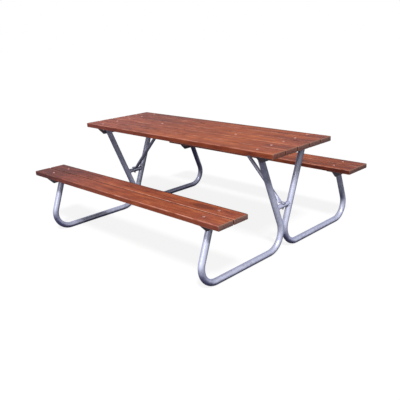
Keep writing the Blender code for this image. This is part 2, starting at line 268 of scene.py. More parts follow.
# Rear edges with a neighbour behind them, then edges that look out of a board and not into a gap
inner_edges = [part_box(f"table_plank_{number}")[1].y for number in range(1, 5)]
inner_edges += [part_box("front_bench_plank_1")[1].y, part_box("rear_bench_plank_1")[1].y]
open_edges = (
    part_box("table_plank_5")[1].y,
    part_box("rear_bench_plank_1")[0].y,
    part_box("rear_bench_plank_2")[1].y,
)

# Noise cycles per metre along, across and through a plank
ripple_stretch = (4.0, 30.0, 30.0)
wander_stretch = (1.1, 5.0, 5.0)
fibre_stretch = (4.0, 170.0, 170.0)
streak_stretch = (2.2, 30.0, 30.0)
fleck_stretch = (13.0, 75.0, 75.0)
cloud_stretch = (2.2, 4.5, 4.5)
patch_stretch = (7.0, 16.0, 16.0)
wear_stretch = (14.0, 60.0, 60.0)

# How much each of them, the late wood and a plank's own luck darken the stain, how much more of it
# both benches carry on the left, and how much more the rear one and less the front one on the right
fibre_depth = 0.8
streak_depth = 2.4
fleck_depth = 1.7
cloud_depth = 1.0
patch_depth = 1.0
late_depth = 0.30
plank_depth = 0.3
left_coat_depth = 0.48
right_coat_depth = 0.34

# The pith line's least depth below the plank's middle, how much further down and aside it may lie,
# its slope and drift along the plank, its wander, and how far a knot pushes the rings
ring_width = 0.0056
pith_depth = 0.018
pith_depth_spread = 0.05
pith_side_spread = 0.11
pith_slope = 0.05
pith_drift = 0.03
pith_wander = 0.03
knot_push = 0.012

knots_along = 2.6
knots_across = 9.0
knot_share = 0.38
knot_seed_factor = 7.3
smallest_knot = 0.003
knot_spread = 0.006
# Knots that the photograph shows: their place along and across the set, radius and depth
photo_knots = (
    (0.010, 0.000, 0.009, 1.0),
    (0.241, -0.188, 0.006, 0.7),
    (0.230, 0.072, 0.006, 0.7),
    (0.611, -0.225, 0.006, 0.8),
)
# A dark blot of stain that the photograph shows: place along and across, half sizes and depth
photo_stains = (
    (0.650, -0.615, 0.120, 0.036, 0.75),
)

stain_dark = (0.110, 0.022, 0.013, 1.0)
stain_body = (0.300, 0.066, 0.026, 1.0)
stain_light = (0.520, 0.155, 0.060, 1.0)
# A colder, greyer stain with a painted sky sheen on it, for the left end of the set
cold_sheen_dark = (0.100, 0.032, 0.033, 1.0)
cold_sheen_light = (0.330, 0.096, 0.083, 1.0)
# Stain rubbed thin on the front edges, with a painted highlight
rubbed_and_lit_colour = (0.700, 0.330, 0.250, 1.0)
# Pooled stain and painted shade on the rear and left edges
rim_stain_and_shade = (0.060, 0.020, 0.016, 1.0)
knot_colour = (0.070, 0.017, 0.012, 1.0)
# Painted shade on the planks' sides, and deeper painted shade in the gaps
side_shade_tint = (0.660, 0.580, 0.580, 1.0)
gap_shade = (0.085, 0.036, 0.028, 1.0)
end_light = (0.280, 0.155, 0.135, 1.0)
end_dark = (0.130, 0.064, 0.060, 1.0)
end_stained = (0.300, 0.085, 0.052, 1.0)
end_weathered = (0.060, 0.028, 0.026, 1.0)
# Darker towards the bottom of the ends
end_low_dark = (0.075, 0.034, 0.034, 1.0)
# A lighter rim round the ends: frayed fibres and a painted highlight
end_frayed_highlight = (0.300, 0.160, 0.120, 1.0)
crack_colour = (0.012, 0.006, 0.006, 1.0)


def new_tree(name, inputs):
    """A Geometry Nodes tree with these named inputs, as the output side of its group input."""
    tree = bpy.data.node_groups.new(name, "GeometryNodeTree")
    tree.interface.new_socket("Geometry", in_out="INPUT", socket_type="NodeSocketGeometry")
    for label, kind in inputs.items():
        tree.interface.new_socket(label, in_out="INPUT", socket_type=f"NodeSocket{kind}")
    tree.interface.new_socket("Geometry", in_out="OUTPUT", socket_type="NodeSocketGeometry")
    return Socket(tree).add("NodeGroupInput")


def close_tree(geometry, finish):
    """Ends a tree: its instances are made real and take the material."""
    real = geometry.add("GeometryNodeRealizeInstances", {}, {"Geometry": geometry})
    coated = real.add("GeometryNodeSetMaterial", {}, {"Geometry": real, "Material": finish})
    coated.add("NodeGroupOutput", {}, {"Geometry": coated})


def grown(name, tree, values, guide=None):
    """A plain mesh piece that a tree makes with these values, from a guide mesh where it has one."""
    piece = bpy.data.objects.new(name, guide or bpy.data.meshes.new(name))
    scene.collection.objects.link(piece)
    maker = piece.modifiers.new("maker", "NODES")
    maker.node_group = tree
    for item in tree.interface.items_tree:
        if item.in_out == "INPUT" and item.name in values:
            maker[item.identifier] = values[item.name]
    graph = bpy.context.evaluated_depsgraph_get()
    mesh = bpy.data.meshes.new_from_object(piece.evaluated_get(graph))
    piece.modifiers.remove(maker)
    piece.data = mesh
    return piece


def new_material(name):
    """A material, its empty tree, and a call that ends it in a Principled shader with these values."""
    material = bpy.data.materials.new(name)
    material.use_nodes = True
    material.node_tree.nodes.clear()
    start = Socket(material.node_tree)

    def shade(values):
        shader = start.add("ShaderNodeBsdfPrincipled", {}, values)
        start.add("ShaderNodeOutputMaterial", {}, {"Surface": shader})

    return material, start, shade


def noise(place, stretch, detail, seed, roughness=0.5):
    """Noise from 0 to 1 over a vector, which is stretched by one number or part by part."""
    values = {"Vector": place, "Scale": stretch, "W": seed, "Detail": detail, "Roughness": roughness}
    if isinstance(stretch, tuple):
        values["Vector"] = place.vector("MULTIPLY", stretch)
        values["Scale"] = 1.0
    return place.add("ShaderNodeTexNoise", {"noise_dimensions": "4D"}, values)


class Wood:
    """What the timber knows of a point: its place in the set and on its plank, the way it faces, its
    distance from the plank's faces, whether it is on a bench, and the plank's own bolts and luck."""

    def __init__(self, start):
        self.whole = start.add("ShaderNodeTexCoord", out="Object")
        self.x, self.y, self.z = self.whole.xyz()
        self.place = self.whole.vector("SUBTRACT", self.stored(start, "plank_centre", "Vector"))
        self.along, self.across, self.up = self.place.xyz()
        normal = start.add("ShaderNodeNewGeometry", out="Normal")
        self.facing_x, self.facing_y, self.facing_z = normal.xyz()
        half_x, half_y, half_z = self.stored(start, "plank_half", "Vector").xyz()
        self.from_end = half_x - abs(self.along)
        self.from_side = half_y - abs(self.across)
        self.from_top = half_z - abs(self.up)
        self.bench = 1.0 - self.z.step(seats_below, table_above)
        self.bolt_row = self.stored(start, "bolt_row", "Fac")
        self.seed = self.stored(start, "plank_seed", "Fac")
        luck = {"W": self.seed}
        chance = start.add("ShaderNodeTexWhiteNoise", {"noise_dimensions": "1D"}, luck, "Color")
        self.first, self.second, self.third = chance.xyz()

    @staticmethod
    def stored(start, name, out):
        """An attribute that the plank's tree has stored."""
        return start.add("ShaderNodeAttribute", {"attribute_name": name}, out=out)


def add_knots(wood):
    """How far a point lies in a knot, and how far the rings there flow round one: knots at random,
    and those of the photograph."""
    cells = wood.place.vector("MULTIPLY", (knots_along, knots_across, 0.0))
    values = {"Vector": cells, "W": wood.seed * knot_seed_factor, "Scale": 1.0, "Randomness": 0.8}
    cell = cells.add("ShaderNodeTexVoronoi", {"voronoi_dimensions": "4D"}, values, "Position")
    offset = cell.vector("SUBTRACT", cells).vector("MULTIPLY", (1 / knots_along, 1 / knots_across, 0.0))
    luck, size, _ = cell.out("Color").xyz()
    chosen = luck > 1.0 - knot_share
    reach = offset.length() / (smallest_knot + size * knot_spread)
    knot = (1.0 - reach.step(0.8, 1.15)) * chosen
    swirl = (1.0 - reach.step(1.0, 5.0)) * chosen
    for x, y, radius, depth in photo_knots:
        reach = wood.whole.vector("SUBTRACT", (x, y, 0.0)).vector("MULTIPLY", (1.0, 1.0, 0.0)).length()
        knot = knot.most((1.0 - reach.step(radius * 0.8, radius * 1.2)) * depth)
        swirl = swirl.most(1.0 - reach.step(radius, radius * 5))
    wood.knot = knot * abs(wood.facing_z).step(0.3, 0.8)
    wood.swirl = swirl


def add_rings(wood):
    """Growth rings round a pith line below the plank, which runs nearly along it."""
    wander = noise(wood.place, wander_stretch, 2.0, wood.seed)
    drift = wood.along * wood.second.swing(pith_drift) + wander.swing(pith_wander)
    wood.pith_y = wood.across + wood.first.swing(pith_side_spread) + drift
    drop = wood.along * wood.first.swing(pith_slope) + wood.swirl * knot_push
    wood.pith_z = wood.up + pith_depth + wood.third * pith_depth_spread + drop
    spoke = wood.place.add("ShaderNodeCombineXYZ", {}, {"X": wood.pith_y, "Y": wood.pith_z})
    wood.from_pith = spoke.length()
    phase = (wood.from_pith / ring_width + wood.seed).math("FRACT")
    wood.late = phase.step(0.45, 0.88) * (1.0 - phase.step(0.93, 1.0))


def stained(wood):
    """The colour of the stain: dark on late wood and in streaks, heavier on parts of the benches, and
    colder and greyer towards the left end of the set, where a painted sky sheen lies over it."""
    wood.fibre = noise(wood.place, fibre_stretch, 4.0, wood.seed, 0.6)
    wood.streak = noise(wood.place, streak_stretch, 3.0, wood.seed + 3.0, 0.65)
    fleck = noise(wood.place, fleck_stretch, 3.0, wood.seed + 5.0, 0.6)
    cloud = noise(wood.whole, cloud_stretch, 3.0, 2.0)
    patch = noise(wood.whole, patch_stretch, 2.0, 9.0)
    left_coat = wood.bench * (-wood.x).step(-0.1, 0.9)
    right_coat = wood.bench * wood.y.math("SIGN") * wood.x.step(0.3, 0.9)
    tone = wood.fibre.swing(fibre_depth) + wood.streak.swing(streak_depth) + fleck.swing(fleck_depth)
    tone = tone + cloud.swing(cloud_depth) + patch.swing(patch_depth)
    tone = tone + wood.late * late_depth + wood.second.swing(plank_depth)
    tone = tone + left_coat * left_coat_depth + right_coat * right_coat_depth
    colour = tone.step(-0.85, 0.05).mix(stain_light, stain_body)
    colour = tone.step(0.0, 0.80).mix(colour, stain_dark)

    for x, y, half_long, half_wide, depth in photo_stains:
        reach = wood.whole.vector("SUBTRACT", (x, y, 0.0))
        reach = reach.vector("MULTIPLY", (1.0 / half_long, 1.0 / half_wide, 0.0)).length()
        blot = 1.0 - (reach + patch.swing(1.6)).step(0.45, 1.1)
        colour = (blot * depth).mix(colour, stain_dark)

    # A colder, greyer stain and a painted sky sheen towards the left end, and weathered ends
    cold_and_sheen = (-wood.x).step(-0.35, 0.95) * 0.7 + wood.bench * (-wood.x).step(0.0, 0.9) * 0.1
    weathered_end = abs(wood.along).step(0.62, 0.93) * cloud.step(0.40, 0.60) * 0.5
    return cold_and_sheen.most(weathered_end).mix(colour, tone.step(-0.6, 0.7).mix(cold_sheen_light, cold_sheen_dark))


def edged(wood, colour):
    """Front edges lighter, partly stain rubbed thin and partly a painted highlight; rear and left edges
    darker, partly pooled stain and partly painted shade.
    """
    # Front edges: stain rubbed thin, and a painted highlight on the roundings that face the front
    rounded_edge = 1.0 - wood.from_side.most(wood.from_top).step(0.002, 0.008)
    patchy = noise(wood.whole, wear_stretch, 3.0, 5.0).step(0.25, 0.7)
    rubbed_and_lit = rounded_edge * patchy * (wood.across < 0.0) * (0.6 + wood.bench * 0.3)
    rubbed_and_lit = rubbed_and_lit * (1.0 - wood.bench * (-wood.x).step(-0.25, 0.35) * 0.8)
    colour = rubbed_and_lit.mix(colour, rubbed_and_lit_colour)

    # Pooled stain and painted shade along the rear edges that look out of the set, and on the left ends
    table_rim = (1.0 - wood.from_side.step(0.010, 0.030)) * (1.0 - wood.bench)
    table_rim = table_rim * (1.0 - abs(wood.x).step(0.3, 0.8))
    rear_rim = (1.0 - wood.from_side.step(0.006, 0.016)).most(table_rim) * (wood.across > 0.0)
    for edge in inner_edges:
        rear_rim = rear_rim * abs(wood.y - edge).step(0.030, 0.036)
    left_rim = (1.0 - wood.from_end.step(0.005, 0.016)) * (wood.along < 0.0)
    pooled_and_shaded = rear_rim.most(left_rim) * (1.0 - wood.from_top.step(0.004, 0.008)) * 0.90
    return pooled_and_shaded.mix(colour, rim_stain_and_shade)


def sided(wood, colour):
    """Painted shade: darker sides, and the darkest inside the gaps between planks."""
    # Painted shade on the sides, deepest inside the gaps
    side = abs(wood.facing_y).step(0.65, 0.9)
    colour = side.mix(colour, side_shade_tint, "MULTIPLY")
    gap_shade_mask = side
    for edge in open_edges:
        gap_shade_mask = gap_shade_mask * abs(abs(wood.y) - edge).step(0.001, 0.003)
    return (gap_shade_mask * 0.85).mix(colour, gap_shade)


def sawn(wood, colour):
    """End grain with its rings and drying cracks, darker towards the bottom, lighter at the rim, partly
    frayed fibres and partly a painted highlight, and here and there stained or weathered."""
    wood.end = abs(wood.facing_x).step(0.6, 0.85)
    table = 1.0 - wood.bench
    shade = (wood.late * 0.6 + wood.fibre * 0.4 - wood.bench * 0.3 + 0.1).mix(end_light, end_dark)
    shade = ((1.0 - wood.y.step(-0.26, 0.12)) * table * 0.55).mix(shade, end_stained)
    shade = (wood.bench * wood.y.step(0.3, 0.5) * 0.45).mix(shade, end_weathered)
    # Darker towards the bottom of the end
    shade = ((1.0 - wood.up.step(-0.016, 0.006)) * 0.6).mix(shade, end_low_dark)
    colour = wood.end.mix(colour, shade)
    # A lighter rim: frayed fibres and a painted highlight on the rounding
    frayed_and_lit = 1.0 - wood.from_end.most(wood.from_top).step(0.002, 0.009)
    colour = (frayed_and_lit * 0.7).mix(colour, end_frayed_highlight)

    angle = wood.pith_z.math("ARCTAN2", wood.pith_y)
    spoke = angle.add("ShaderNodeCombineXYZ", {}, {"X": angle * 14.0, "Y": wood.from_pith * 25.0})
    split = noise(spoke, 1.0, 2.0, wood.seed)
    wood.crack = (1.0 - abs(split - 0.5).step(0.004, 0.02)) * wood.end
    return (wood.crack * 0.8).mix(colour, crack_colour)


def bruised(wood, colour):
    """A dark ring where each bolt head has pressed the wood."""
    values = {"X": abs(wood.along) - bolt_x, "Y": wood.across - wood.bolt_row}
    from_bolt = wood.along.add("ShaderNodeCombineXYZ", {}, values).length()
    wood.bruise = 1.0 - from_bolt.step(0.0095, 0.0150)
    return (wood.bruise * 0.55).mix(colour, stain_dark)


def make_timber():
    """The stained softwood. Each plank has its own rings, knots and streaks."""
    material, start, shade = new_material("stained_timber")
    wood = Wood(start)
    add_knots(wood)
    add_rings(wood)
    colour = edged(wood, stained(wood))
    colour = sided(wood, wood.knot.mix(colour, knot_colour))
    colour = bruised(wood, sawn(wood, colour))
    height = wood.fibre.swing(0.5) + wood.late * 0.25
    height = height - wood.knot * 0.5 - wood.crack * 2.0 - wood.bruise * 0.6
    bump = start.add("ShaderNodeBump", {}, {"Strength": 0.55, "Distance": 0.0006, "Height": height})
    gloss = 0.54 + (1.0 - wood.streak) * 0.16 + wood.end * 0.2
    shade({"Base Color": colour, "Roughness": gloss, "Normal": bump, "Specular IOR Level": 0.16})
    return material


def make_plank_tree():
    """A plank as a finely divided box whose faces waver inwards by a fraction of a millimetre."""
    inputs = {
        "Length": "Float", "Width": "Float", "Thickness": "Float", "Grid": "Float", "Wave": "Float",
        "Centre": "Vector", "Bolt Row": "Float", "Seed": "Float", "Timber": "Material",
    }
    given = new_tree("plank", inputs)
    length, width, thickness = given.out("Length"), given.out("Width"), given.out("Thickness")
    seed = given.out("Seed")
    size = given.add("ShaderNodeCombineXYZ", {}, {"X": length, "Y": width, "Z": thickness})
    counts = {
        "Size": size,
        "Vertices X": (length / given.out("Grid")).math("ROUND") + 1.0,
        "Vertices Y": (width / given.out("Grid")).math("ROUND") + 1.0,
        "Vertices Z": (thickness / given.out("Grid")).math("ROUND") + 1.0,
    }
    box = given.add("GeometryNodeMeshCube", {}, counts)
    spot = given.add("GeometryNodeInputPosition")
    ripple = noise(spot, ripple_stretch, 2.0, seed)
    outward = spot.vector("MULTIPLY", (0.0, 1.0, 1.0)).vector("NORMALIZE")
    push = {"Vector": outward, "Scale": ripple * given.out("Wave") * -1.0}
    inward = given.add("ShaderNodeVectorMath", {"operation": "SCALE"}, push)
    wavy = given.add("GeometryNodeSetPosition", {}, {"Geometry": box, "Offset": inward})
    placed = given.add("GeometryNodeTransform", {}, {"Geometry": wavy, "Translation": given.out("Centre")})
    labels = (
        ("plank_centre", "FLOAT_VECTOR", given.out("Centre")),
        ("plank_half", "FLOAT_VECTOR", size.vector("MULTIPLY", (0.5, 0.5, 0.5))),
        ("plank_seed", "FLOAT", seed),
        ("bolt_row", "FLOAT", given.out("Bolt Row")),
    )
    for label, kind, value in labels:
        values = {"Geometry": placed, "Name": label, "Value": value}
        placed = given.add("GeometryNodeStoreNamedAttribute", {"data_type": kind}, values)
    close_tree(placed, given.out("Timber"))
    return given.tree


timber = make_timber()
plank_tree = make_plank_tree()
plank_nodes = sorted(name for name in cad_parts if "_plank_" in name)
bolt_rows = {"table_plank_1": -outer_bolt_offset, "table_plank_5": outer_bolt_offset}
for number, node in enumerate(plank_nodes):
    low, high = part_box(node)
    sizes = high - low
    values = {
        "Length": sizes.x, "Width": sizes.y, "Thickness": sizes.z, "Grid": grid_step,
        "Wave": surface_wave, "Centre": (low + high) / 2, "Bolt Row": bolt_rows.get(node, 0.0),
        "Seed": first_seed + seed_step * number, "Timber": timber,
    }
    plank = grown(f"{node}_board", plank_tree, values)
    plank.data.shade_smooth()
    rounding = plank.modifiers.new("rounding", "BEVEL")
    rounding.width = plank_rounding
    rounding.segments = rounding_steps
    rounding.limit_method = "ANGLE"
    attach(plank, "root")
    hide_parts(node)


# Galvanised tubes
# Each end frame has two bent tubes that stand back to back. A tube runs from the table down to the
# floor, along it and up again to a bench. They are welded up first and dipped in zinc afterwards.
tube_radius = 0.0212
inner_bend = 0.127
outer_bend = 0.115
frame_x = 0.770
leg_top = 0.7014
riser_top = 0.4134
bench_centre_y = 0.673
riser_angle = math.radians(20.8)
riser_lean = math.tan(riser_angle)
leg_top_y = 0.2310
back_to_back = 0.00015
spare_end = 0.030
bend_points = 28
tube_sides = 56
tube_crease = math.radians(40)

spangle_scale = 95.0
dirt_scale = 45.0
dirt_height = 0.07
zinc_cloud_stretch = (9.0, 9.0, 9.0)
zinc_run_stretch = (60.0, 60.0, 7.0)
# The pale and dark ends of the zinc's tone, which carries painted light and shade besides spangle and
# clouds
zinc_pale_lit = (0.84, 0.86, 0.95, 1.0)
zinc_dark_shaded = (0.088, 0.083, 0.165, 1.0)
zinc_roughness = 0.34
zinc_metallic = 0.30
dirt_colour = (0.17, 0.15, 0.13, 1.0)
zinc_sheen = {
    "Specular IOR Level": 0.2, "Specular Tint": (0.5, 0.5, 0.7, 1.0), "Coat Weight": 1.0,
    "Coat Roughness": 0.3, "Coat IOR": 1.05, "Coat Tint": (0.74, 0.75, 0.84, 1.0),
}

# The leg's lean is that of the line from its top that touches the inner bend
bend_y = inner_bend + tube_radius + back_to_back
bend_z = inner_bend + tube_radius
leg_run = leg_top_y - bend_y
leg_rise = leg_top - bend_z
leg_angle = math.atan2(leg_run, leg_rise) + math.asin(inner_bend / math.hypot(leg_run, leg_rise))
leg_lean = math.tan(leg_angle)
inner_corner_y = leg_top_y - leg_lean * (leg_top - tube_radius)
outer_corner_y = bench_centre_y + riser_lean * (riser_top - tube_radius)


def leg_y(height):
    """How far out from the middle a leg's centre line is."""
    return inner_corner_y + leg_lean * (height - tube_radius)


def riser_y(height):
    """How far out from the middle a riser's centre line is."""
    return outer_corner_y - riser_lean * (height - tube_radius)


def make_zinc(name, pale, dark, roughness, metallic):
    """A dipped zinc coat: faint spangle, clouds and runs, dirt near the floor, and painted light and
    shade: brightest where it faces up, low down, and darker high up in the table's shade."""
    material, start, shade = new_material(name)
    place = start.add("ShaderNodeTexCoord", out="Object")
    x, y, height = place.xyz()
    facing_up = start.add("ShaderNodeNewGeometry", out="Normal").xyz()[2]
    crystals = {"Vector": place, "Scale": spangle_scale, "Smoothness": 0.4}
    spangle = start.add("ShaderNodeTexVoronoi", {"feature": "SMOOTH_F1"}, crystals, "Color").xyz()[0]
    cloud = noise(place, zinc_cloud_stretch, 4.0, 1.0)
    run = noise(place, zinc_run_stretch, 3.0, 4.0)
    splash = noise(place, dirt_scale, 4.0, 8.0).step(0.35, 0.75)
    dirt = (1.0 - height.step(0.0, dirt_height)) * splash

    # Painted light and shade: paler where the tube faces up, partly rain-washed zinc, and darker high up in
    # the table's shade
    faces_up_lit = facing_up.step(-0.52, 0.44)
    shaded = 1.0 - faces_up_lit
    table_shade = height.step(0.20, 0.60)
    out_of_table_shade = 1.0 - table_shade
    tone = 0.18 + table_shade * (0.16 + faces_up_lit * 0.26) + out_of_table_shade * faces_up_lit * 0.80
    tone = tone + spangle.swing(0.12) + cloud.swing(0.40) + run.swing(0.24)

    # Darker places: the left frame low down, painted shade on its rear half and under the seats, and
    # the floor runs, partly scuffed and partly painted shade
    left = (-x).step(0.0, 0.5)
    right = x.step(0.0, 0.5)
    floor_run_scuff_and_shade = 1.0 - height.step(0.05, 0.19)
    rear_left_shade = left * y.step(0.03, 0.12)
    under_seat_shade = abs(y).step(0.45, 0.55) * height.step(0.27, 0.36) * faces_up_lit
    tone = tone - left * out_of_table_shade * 0.14 - floor_run_scuff_and_shade * 0.20 - rear_left_shade * 0.12 - under_seat_shade * 0.30

    # Painted light on undersides: the front legs, the right one most, and the rear riser on the right
    front_leg_light = (-y).step(0.0, 0.03) * (1.0 - (-y).step(0.24, 0.34))
    front_leg_light = front_leg_light * height.step(0.08, 0.18) * (1.0 - height.step(0.27, 0.66))
    rear_riser_light = y.step(0.50, 0.56) * right * height.step(0.17, 0.25)
    tone = tone + shaded * (front_leg_light * (0.20 + right * 0.22) + rear_riser_light * 0.26)

    colour = (dirt * 0.45).mix(tone.step(0.0, 1.0).mix(dark, pale), dirt_colour)
    gloss = roughness + spangle.swing(0.04) + cloud.swing(0.12) + dirt * 0.2 + shaded * 0.3
    rise = cloud * 0.4 + run * 0.4 + spangle * 0.03
    bump = start.add("ShaderNodeBump", {}, {"Strength": 0.05, "Distance": 0.0009, "Height": rise})
    shade({"Base Color": colour, "Metallic": faces_up_lit * metallic, "Roughness": gloss, "Normal": bump,
           **zinc_sheen})
    return material


def polyline(name, points):
    """A mesh of edges through the points, for a tree to follow."""
    guide = bpy.data.meshes.new(name)
    guide.from_pydata(points, [(step, step + 1) for step in range(len(points) - 1)], [])
    return guide


def swept(line, radius, sides):
    """A closed round bar of this radius along a line."""
    ring = line.add("GeometryNodeCurvePrimitiveCircle", {}, {"Resolution": sides, "Radius": radius})
    profile = {"Curve": line, "Profile Curve": ring, "Fill Caps": True}
    return line.add("GeometryNodeCurveToMesh", {}, profile)


def make_tube_tree():
    """A tube along a guide of four corners: its two inner corners are bent, its ends sawn level."""
    inputs = {
        "Radius": "Float", "Inner Bend": "Float", "Outer Bend": "Float", "Leg Top": "Float",
        "Riser Top": "Float", "Leg Lean": "Float", "Riser Lean": "Float", "Zinc": "Material",
    }
    given = new_tree("bent_tube", inputs)
    line = given.add("GeometryNodeMeshToCurve", {}, {"Mesh": given})
    second = given.add("GeometryNodeInputIndex") > 1.5
    bend = given.out("Inner Bend") + second * (given.out("Outer Bend") - given.out("Inner Bend"))
    bends = {"Curve": line, "Radius": bend, "Count": bend_points}
    line = given.add("GeometryNodeFilletCurve", {"mode": "POLY"}, bends)
    tube = swept(line, given.out("Radius"), tube_sides)
    _, y, height = given.add("GeometryNodeInputPosition").xyz()
    ends = (
        (given.out("Leg Top"), given.out("Leg Lean")),
        (given.out("Riser Top"), -given.out("Riser Lean")),
    )
    for top, lean in ends:
        lift = top - height
        slide = {"Y": lift * lean * y.math("SIGN"), "Z": lift}
        trim = {
            "Geometry": tube,
            "Selection": abs(height - top) < 2 * spare_end,
            "Offset": given.add("ShaderNodeCombineXYZ", {}, slide),
        }
        tube = given.add("GeometryNodeSetPosition", {}, trim)
    close_tree(tube, given.out("Zinc"))
    return given.tree


def finish_tube(tube, node):
    """Smooths a tube, and puts it in its CAD node's place."""
    tube.data.shade_smooth()
    tube.data.set_sharp_from_angle(angle=tube_crease)
    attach(tube, "root")
    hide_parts(node)


zinc = make_zinc("galvanised_steel", zinc_pale_lit, zinc_dark_shaded, zinc_roughness, zinc_metallic)
tube_tree = make_tube_tree()
for side, y_side in (("front", -1), ("rear", 1)):
    for end, x_side in (("left", -1), ("right", 1)):
        x = x_side * frame_x
        corners = (
            (x, y_side * leg_y(leg_top + spare_end), leg_top + spare_end),
            (x, y_side * inner_corner_y, tube_radius),
            (x, y_side * outer_corner_y, tube_radius),
            (x, y_side * riser_y(riser_top + spare_end), riser_top + spare_end),
        )
        values = {
            "Radius": tube_radius, "Inner Bend": inner_bend, "Outer Bend": outer_bend,
            "Leg Top": leg_top, "Riser Top": riser_top, "Leg Lean": leg_lean,
            "Riser Lean": riser_lean, "Zinc": zinc,
        }
        tube = grown(f"{side}_{end}_bent_tube", tube_tree, values, polyline("tube", corners))
        finish_tube(tube, f"{side}_tube_{end}")


# Crossbars
# A thinner tube across each frame at shin height, its ends cut as saddles that fit the legs. The
# foot of the brace is bolted through its middle.
crossbar_radius = 0.016
crossbar_height = 0.312
crossbar_sides = 48


def saddle(across, height, radius):
    """How far out from the middle the near skin of a leg, of this radius, is beside its centre line."""
    return leg_y(height) - math.sqrt(radius ** 2 - across ** 2) / math.cos(leg_angle)


def make_crossbar_tree():
    """A tube along a straight guide whose end points slide onto the skin of the legs."""
    inputs = {
        "Radius": "Float", "Leg Radius": "Float", "Frame": "Float", "Lean": "Float",
        "Corner": "Float", "Slant": "Float", "Zinc": "Material",
    }
    given = new_tree("crossbar", inputs)
    line = given.add("GeometryNodeMeshToCurve", {}, {"Mesh": given})
    tube = swept(line, given.out("Radius"), crossbar_sides)
    x, y, z = given.add("GeometryNodeInputPosition").xyz()
    beside = x - given.out("Frame")
    leg = given.out("Leg Radius")
    depth = (leg * leg - beside * beside).math("SQRT") / given.out("Slant")
    skin_y = given.out("Corner") + given.out("Lean") * (z - leg) - depth
    slide = given.add("ShaderNodeCombineXYZ", {}, {"Y": y.math("SIGN") * skin_y - y})
    tube = given.add("GeometryNodeSetPosition", {}, {"Geometry": tube, "Offset": slide})
    close_tree(tube, given.out("Zinc"))
    return given.tree


crossbar_tree = make_crossbar_tree()
for end, x_side in (("left", -1), ("right", 1)):
    x = x_side * frame_x
    reach = saddle(0.0, crossbar_height, tube_radius)
    guide = polyline("crossbar", [(x, -reach, crossbar_height), (x, reach, crossbar_height)])
    values = {
        "Radius": crossbar_radius, "Leg Radius": tube_radius, "Frame": x, "Lean": leg_lean,
        "Corner": inner_corner_y, "Slant": math.cos(leg_angle), "Zinc": zinc,
    }
    crossbar = grown(f"{end}_crossbar_tube", crossbar_tree, values, guide)
    finish_tube(crossbar, f"crossbar_{end}")


# Welds
# Beads laid by hand round each end of a crossbar, round the tubes' tops under the angle irons, and
# in the groove where two tubes stand back to back. The zinc coat runs over them.
bead_step = 0.0019
bead_size = 0.0064
bead_height_share = 0.86
seam_points = 44
bar_seam_radius = crossbar_radius + 0.0012
bar_seam_sink = 0.0010
top_seam_radius = tube_radius + 0.0006
top_seam_drop = 0.0016
flange_clearance = 0.0014
groove_x = 0.0105
groove_half = 0.030


def make_weld_tree():
    """Overlapping flat drops along every line of the guide, each a little unlike the last."""
    inputs = {"Step": "Float", "Size": "Float", "Zinc": "Material"}
    given = new_tree("weld_beads", inputs)
    line = given.add("GeometryNodeMeshToCurve", {}, {"Mesh": given})
    spacing = {"Curve": line, "Length": given.out("Step")}
    dots = given.add("GeometryNodeCurveToPoints", {"mode": "LENGTH"}, spacing, "Points")
    drop = given.add("GeometryNodeMeshUVSphere", {}, {"Segments": 12, "Rings": 8, "Radius": 0.5})
    spread = {"Min": (0.88, 0.88, 0.80), "Max": (1.08, 1.08, 1.0), "Seed": 11}
    vary = given.add("FunctionNodeRandomValue", {"data_type": "FLOAT_VECTOR"}, spread)
    size = given.out("Size")
    drop_size = given.add("ShaderNodeCombineXYZ", {}, {"X": size, "Y": size, "Z": size * bead_height_share})
    values = {
        "Points": dots, "Instance": drop, "Rotation": dots.out("Rotation"),
        "Scale": vary.vector("MULTIPLY", drop_size),
    }
    beads = given.add("GeometryNodeInstanceOnPoints", {}, values)
    close_tree(beads, given.out("Zinc"))
    return given.tree


def seams_mesh(name, seams):
    """A mesh of edges along each list of points, which is joined end to end where it is closed."""
    points = []
    edges = []
    for seam, closed in seams:
        first = len(points)
        points += seam
        edges += [(first + step, first + step + 1) for step in range(len(seam) - 1)]
        if closed:
            edges.append((len(points) - 1, first))
    mesh = bpy.data.meshes.new(name)
    mesh.from_pydata(points, edges, [])
    return mesh


def circle_steps(count):
    """Angles all the way round."""
    return [2 * math.pi * step / count for step in range(count)]


def bar_seam(x, y_side):
    """Round the end of a crossbar, on the skin of its leg."""
    seam = []
    for turn in circle_steps(seam_points):
        beside = bar_seam_radius * math.cos(turn)
        height = crossbar_height + bar_seam_radius * math.sin(turn)
        y = saddle(beside, height, tube_radius) - bar_seam_sink
        seam.append((x + beside, y_side * y, height))
    return seam


def top_seam(x, x_side, y_side, centre, lean, height):
    """Round the top of a tube, kept clear of the angle iron's flange that hangs outside it."""
    seam = []
    for turn in circle_steps(seam_points):
        outside = min(top_seam_radius * math.cos(turn) * x_side, tube_radius - flange_clearance)
        y = centre + top_seam_radius * math.sin(turn) / math.cos(lean)
        seam.append((x + outside * x_side, y_side * y, height))
    return seam


def groove_seam(x, side):
    """Up the groove between two tubes, where their bends touch."""
    return [(x + side * groove_x, 0.0, bend_z + rise) for rise in (-groove_half, groove_half)]


weld_tree = make_weld_tree()
for end, x_side in (("left", -1), ("right", 1)):
    x = x_side * frame_x
    leg_seam_z = leg_top - top_seam_drop
    riser_seam_z = riser_top - top_seam_drop
    seams = []
    for y_side in (-1, 1):
        seams.append((bar_seam(x, y_side), True))
        seams.append((top_seam(x, x_side, y_side, leg_y(leg_seam_z), leg_angle, leg_seam_z), True))
        seams.append((top_seam(x, x_side, y_side, riser_y(riser_seam_z), riser_angle, riser_seam_z), True))
    for side in (-1, 1):
        seams.append((groove_seam(x, side), False))
    values = {"Step": bead_step, "Size": bead_size, "Zinc": zinc}
    welds = grown(f"{end}_frame_welds", weld_tree, values, seams_mesh("welds", seams))
    welds.data.shade_smooth()
    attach(welds, "root")


